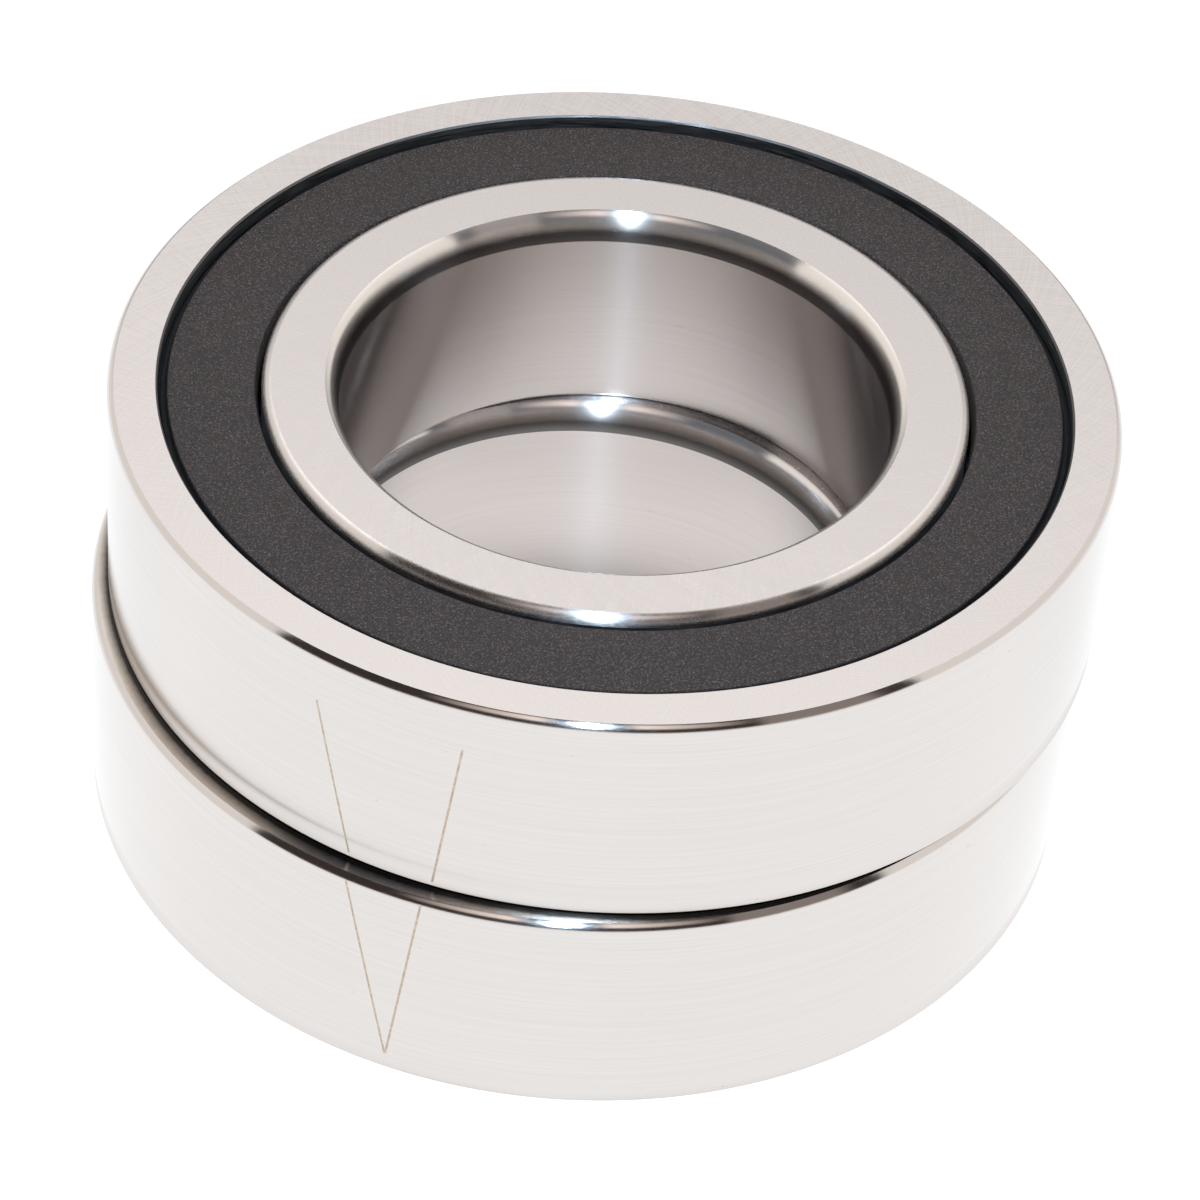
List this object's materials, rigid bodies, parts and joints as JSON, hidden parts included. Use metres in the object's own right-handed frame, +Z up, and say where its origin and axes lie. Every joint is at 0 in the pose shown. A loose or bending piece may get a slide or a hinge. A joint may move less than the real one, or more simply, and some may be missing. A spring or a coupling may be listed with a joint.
{
  "type": "angular contact bearing pair",
  "caption": "Matched tandem pair of sealed single-row angular contact ball bearings, stacked loosely, with a V alignment mark across both outer rings.",
  "frame": {"origin": "on the surface the pair stands on, at the middle of its footprint", "axes": "+Z up along the bearing axes, from the lower bearing to the upper one; the V alignment mark faces -Y"},
  "size_m": [0.0558, 0.056, 0.026],
  "materials": {
    "ring_steel": "ground bearing steel with a fine brushed grain and polished corners",
    "ball_steel": "lapped mirror-bright bearing steel",
    "seal_rubber": "matte moulded nitrile rubber with a fine grain",
    "stiffener_steel": "plain pressed sheet steel",
    "cage_polymer": "machined fabric-reinforced phenolic resin"
  },
  "bodies": {
    "lower_outer_race": {"lower_outer_ring": "ring_steel", "lower_top_seal": "seal_rubber", "lower_top_seal_stiffener": "stiffener_steel", "lower_bottom_seal": "seal_rubber", "lower_bottom_seal_stiffener": "stiffener_steel"},
    "lower_inner_race": {"lower_inner_ring": "ring_steel"},
    "lower_cage_body": {"lower_cage": "cage_polymer"},
    "lower_ball_01_body": {"lower_ball_01": "ball_steel"},
    "lower_ball_02_body": {"lower_ball_02": "ball_steel"},
    "lower_ball_03_body": {"lower_ball_03": "ball_steel"},
    "lower_ball_04_body": {"lower_ball_04": "ball_steel"},
    "lower_ball_05_body": {"lower_ball_05": "ball_steel"},
    "lower_ball_06_body": {"lower_ball_06": "ball_steel"},
    "lower_ball_07_body": {"lower_ball_07": "ball_steel"},
    "lower_ball_08_body": {"lower_ball_08": "ball_steel"},
    "lower_ball_09_body": {"lower_ball_09": "ball_steel"},
    "lower_ball_10_body": {"lower_ball_10": "ball_steel"},
    "lower_ball_11_body": {"lower_ball_11": "ball_steel"},
    "lower_ball_12_body": {"lower_ball_12": "ball_steel"},
    "lower_ball_13_body": {"lower_ball_13": "ball_steel"},
    "lower_ball_14_body": {"lower_ball_14": "ball_steel"},
    "upper_outer_race": {"upper_outer_ring": "ring_steel", "upper_top_seal": "seal_rubber", "upper_top_seal_stiffener": "stiffener_steel", "upper_bottom_seal": "seal_rubber", "upper_bottom_seal_stiffener": "stiffener_steel"},
    "upper_inner_race": {"upper_inner_ring": "ring_steel"},
    "upper_cage_body": {"upper_cage": "cage_polymer"},
    "upper_ball_01_body": {"upper_ball_01": "ball_steel"},
    "upper_ball_02_body": {"upper_ball_02": "ball_steel"},
    "upper_ball_03_body": {"upper_ball_03": "ball_steel"},
    "upper_ball_04_body": {"upper_ball_04": "ball_steel"},
    "upper_ball_05_body": {"upper_ball_05": "ball_steel"},
    "upper_ball_06_body": {"upper_ball_06": "ball_steel"},
    "upper_ball_07_body": {"upper_ball_07": "ball_steel"},
    "upper_ball_08_body": {"upper_ball_08": "ball_steel"},
    "upper_ball_09_body": {"upper_ball_09": "ball_steel"},
    "upper_ball_10_body": {"upper_ball_10": "ball_steel"},
    "upper_ball_11_body": {"upper_ball_11": "ball_steel"},
    "upper_ball_12_body": {"upper_ball_12": "ball_steel"},
    "upper_ball_13_body": {"upper_ball_13": "ball_steel"},
    "upper_ball_14_body": {"upper_ball_14": "ball_steel"}
  },
  "joints": [
    {"name": "lower_inner_ring_spin", "type": "hinge", "parent": "lower_outer_race", "child": "lower_inner_race", "pos_m": [-0.00038, -0.00055, 0.0065], "axis": [0, 0, 1], "continuous": true},
    {"name": "lower_cage_orbit", "type": "hinge", "parent": "lower_outer_race", "child": "lower_cage_body", "pos_m": [-0.00038, -0.00055, 0.0065], "axis": [0, 0, 1], "continuous": true},
    {"name": "lower_ball_01_spin", "type": "hinge", "parent": "lower_cage_body", "child": "lower_ball_01_body", "pos_m": [0.02087, -0.00055, 0.0065], "axis": [0.2588, 0, 0.9659], "continuous": true},
    {"name": "lower_ball_02_spin", "type": "hinge", "parent": "lower_cage_body", "child": "lower_ball_02_body", "pos_m": [0.01877, 0.00868, 0.0065], "axis": [0.2332, 0.1123, 0.9659], "continuous": true},
    {"name": "lower_ball_03_spin", "type": "hinge", "parent": "lower_cage_body", "child": "lower_ball_03_body", "pos_m": [0.01287, 0.01607, 0.0065], "axis": [0.1614, 0.2024, 0.9659], "continuous": true},
    {"name": "lower_ball_04_spin", "type": "hinge", "parent": "lower_cage_body", "child": "lower_ball_04_body", "pos_m": [0.00435, 0.02017, 0.0065], "axis": [0.0576, 0.2523, 0.9659], "continuous": true},
    {"name": "lower_ball_05_spin", "type": "hinge", "parent": "lower_cage_body", "child": "lower_ball_05_body", "pos_m": [-0.00511, 0.02017, 0.0065], "axis": [-0.0576, 0.2523, 0.9659], "continuous": true},
    {"name": "lower_ball_06_spin", "type": "hinge", "parent": "lower_cage_body", "child": "lower_ball_06_body", "pos_m": [-0.01363, 0.01607, 0.0065], "axis": [-0.1614, 0.2024, 0.9659], "continuous": true},
    {"name": "lower_ball_07_spin", "type": "hinge", "parent": "lower_cage_body", "child": "lower_ball_07_body", "pos_m": [-0.01953, 0.00868, 0.0065], "axis": [-0.2332, 0.1123, 0.9659], "continuous": true},
    {"name": "lower_ball_08_spin", "type": "hinge", "parent": "lower_cage_body", "child": "lower_ball_08_body", "pos_m": [-0.02163, -0.00055, 0.0065], "axis": [-0.2588, 0, 0.9659], "continuous": true},
    {"name": "lower_ball_09_spin", "type": "hinge", "parent": "lower_cage_body", "child": "lower_ball_09_body", "pos_m": [-0.01953, -0.00976, 0.0065], "axis": [-0.2332, -0.1123, 0.9659], "continuous": true},
    {"name": "lower_ball_10_spin", "type": "hinge", "parent": "lower_cage_body", "child": "lower_ball_10_body", "pos_m": [-0.01363, -0.01716, 0.0065], "axis": [-0.1614, -0.2024, 0.9659], "continuous": true},
    {"name": "lower_ball_11_spin", "type": "hinge", "parent": "lower_cage_body", "child": "lower_ball_11_body", "pos_m": [-0.00511, -0.02126, 0.0065], "axis": [-0.0576, -0.2523, 0.9659], "continuous": true},
    {"name": "lower_ball_12_spin", "type": "hinge", "parent": "lower_cage_body", "child": "lower_ball_12_body", "pos_m": [0.00435, -0.02126, 0.0065], "axis": [0.0576, -0.2523, 0.9659], "continuous": true},
    {"name": "lower_ball_13_spin", "type": "hinge", "parent": "lower_cage_body", "child": "lower_ball_13_body", "pos_m": [0.01287, -0.01716, 0.0065], "axis": [0.1614, -0.2024, 0.9659], "continuous": true},
    {"name": "lower_ball_14_spin", "type": "hinge", "parent": "lower_cage_body", "child": "lower_ball_14_body", "pos_m": [0.01877, -0.00976, 0.0065], "axis": [0.2332, -0.1123, 0.9659], "continuous": true},
    {"name": "upper_bearing_lift", "type": "slide", "parent": "lower_outer_race", "child": "upper_outer_race", "axis": [0, 0, 1], "range_m": [0, 0.03]},
    {"name": "upper_inner_ring_spin", "type": "hinge", "parent": "upper_outer_race", "child": "upper_inner_race", "pos_m": [0.00038, 0.00055, 0.01955], "axis": [0, 0, 1], "continuous": true},
    {"name": "upper_cage_orbit", "type": "hinge", "parent": "upper_outer_race", "child": "upper_cage_body", "pos_m": [0.00038, 0.00055, 0.01955], "axis": [0, 0, 1], "continuous": true},
    {"name": "upper_ball_01_spin", "type": "hinge", "parent": "upper_cage_body", "child": "upper_ball_01_body", "pos_m": [0.02163, 0.00055, 0.01955], "axis": [0.2588, 0, 0.9659], "continuous": true},
    {"name": "upper_ball_02_spin", "type": "hinge", "parent": "upper_cage_body", "child": "upper_ball_02_body", "pos_m": [0.01953, 0.00976, 0.01955], "axis": [0.2332, 0.1123, 0.9659], "continuous": true},
    {"name": "upper_ball_03_spin", "type": "hinge", "parent": "upper_cage_body", "child": "upper_ball_03_body", "pos_m": [0.01363, 0.01716, 0.01955], "axis": [0.1614, 0.2024, 0.9659], "continuous": true},
    {"name": "upper_ball_04_spin", "type": "hinge", "parent": "upper_cage_body", "child": "upper_ball_04_body", "pos_m": [0.00511, 0.02126, 0.01955], "axis": [0.0576, 0.2523, 0.9659], "continuous": true},
    {"name": "upper_ball_05_spin", "type": "hinge", "parent": "upper_cage_body", "child": "upper_ball_05_body", "pos_m": [-0.00435, 0.02126, 0.01955], "axis": [-0.0576, 0.2523, 0.9659], "continuous": true},
    {"name": "upper_ball_06_spin", "type": "hinge", "parent": "upper_cage_body", "child": "upper_ball_06_body", "pos_m": [-0.01287, 0.01716, 0.01955], "axis": [-0.1614, 0.2024, 0.9659], "continuous": true},
    {"name": "upper_ball_07_spin", "type": "hinge", "parent": "upper_cage_body", "child": "upper_ball_07_body", "pos_m": [-0.01877, 0.00976, 0.01955], "axis": [-0.2332, 0.1123, 0.9659], "continuous": true},
    {"name": "upper_ball_08_spin", "type": "hinge", "parent": "upper_cage_body", "child": "upper_ball_08_body", "pos_m": [-0.02087, 0.00055, 0.01955], "axis": [-0.2588, 0, 0.9659], "continuous": true},
    {"name": "upper_ball_09_spin", "type": "hinge", "parent": "upper_cage_body", "child": "upper_ball_09_body", "pos_m": [-0.01877, -0.00868, 0.01955], "axis": [-0.2332, -0.1123, 0.9659], "continuous": true},
    {"name": "upper_ball_10_spin", "type": "hinge", "parent": "upper_cage_body", "child": "upper_ball_10_body", "pos_m": [-0.01287, -0.01607, 0.01955], "axis": [-0.1614, -0.2024, 0.9659], "continuous": true},
    {"name": "upper_ball_11_spin", "type": "hinge", "parent": "upper_cage_body", "child": "upper_ball_11_body", "pos_m": [-0.00435, -0.02017, 0.01955], "axis": [-0.0576, -0.2523, 0.9659], "continuous": true},
    {"name": "upper_ball_12_spin", "type": "hinge", "parent": "upper_cage_body", "child": "upper_ball_12_body", "pos_m": [0.00511, -0.02017, 0.01955], "axis": [0.0576, -0.2523, 0.9659], "continuous": true},
    {"name": "upper_ball_13_spin", "type": "hinge", "parent": "upper_cage_body", "child": "upper_ball_13_body", "pos_m": [0.01363, -0.01607, 0.01955], "axis": [0.1614, -0.2024, 0.9659], "continuous": true},
    {"name": "upper_ball_14_spin", "type": "hinge", "parent": "upper_cage_body", "child": "upper_ball_14_body", "pos_m": [0.01953, -0.00868, 0.01955], "axis": [0.2332, -0.1123, 0.9659], "continuous": true}
  ],
  "couplings": [
    {"joint": "lower_cage_orbit", "follows": "lower_inner_ring_spin", "ratio": 0.41882},
    {"joint": "lower_ball_01_spin", "follows": "lower_inner_ring_spin", "ratio": -2.8961},
    {"joint": "lower_ball_02_spin", "follows": "lower_inner_ring_spin", "ratio": -2.8961},
    {"joint": "lower_ball_03_spin", "follows": "lower_inner_ring_spin", "ratio": -2.8961},
    {"joint": "lower_ball_04_spin", "follows": "lower_inner_ring_spin", "ratio": -2.8961},
    {"joint": "lower_ball_05_spin", "follows": "lower_inner_ring_spin", "ratio": -2.8961},
    {"joint": "lower_ball_06_spin", "follows": "lower_inner_ring_spin", "ratio": -2.8961},
    {"joint": "lower_ball_07_spin", "follows": "lower_inner_ring_spin", "ratio": -2.8961},
    {"joint": "lower_ball_08_spin", "follows": "lower_inner_ring_spin", "ratio": -2.8961},
    {"joint": "lower_ball_09_spin", "follows": "lower_inner_ring_spin", "ratio": -2.8961},
    {"joint": "lower_ball_10_spin", "follows": "lower_inner_ring_spin", "ratio": -2.8961},
    {"joint": "lower_ball_11_spin", "follows": "lower_inner_ring_spin", "ratio": -2.8961},
    {"joint": "lower_ball_12_spin", "follows": "lower_inner_ring_spin", "ratio": -2.8961},
    {"joint": "lower_ball_13_spin", "follows": "lower_inner_ring_spin", "ratio": -2.8961},
    {"joint": "lower_ball_14_spin", "follows": "lower_inner_ring_spin", "ratio": -2.8961},
    {"joint": "upper_cage_orbit", "follows": "upper_inner_ring_spin", "ratio": 0.41882},
    {"joint": "upper_ball_01_spin", "follows": "upper_inner_ring_spin", "ratio": -2.8961},
    {"joint": "upper_ball_02_spin", "follows": "upper_inner_ring_spin", "ratio": -2.8961},
    {"joint": "upper_ball_03_spin", "follows": "upper_inner_ring_spin", "ratio": -2.8961},
    {"joint": "upper_ball_04_spin", "follows": "upper_inner_ring_spin", "ratio": -2.8961},
    {"joint": "upper_ball_05_spin", "follows": "upper_inner_ring_spin", "ratio": -2.8961},
    {"joint": "upper_ball_06_spin", "follows": "upper_inner_ring_spin", "ratio": -2.8961},
    {"joint": "upper_ball_07_spin", "follows": "upper_inner_ring_spin", "ratio": -2.8961},
    {"joint": "upper_ball_08_spin", "follows": "upper_inner_ring_spin", "ratio": -2.8961},
    {"joint": "upper_ball_09_spin", "follows": "upper_inner_ring_spin", "ratio": -2.8961},
    {"joint": "upper_ball_10_spin", "follows": "upper_inner_ring_spin", "ratio": -2.8961},
    {"joint": "upper_ball_11_spin", "follows": "upper_inner_ring_spin", "ratio": -2.8961},
    {"joint": "upper_ball_12_spin", "follows": "upper_inner_ring_spin", "ratio": -2.8961},
    {"joint": "upper_ball_13_spin", "follows": "upper_inner_ring_spin", "ratio": -2.8961},
    {"joint": "upper_ball_14_spin", "follows": "upper_inner_ring_spin", "ratio": -2.8961}
  ]
}
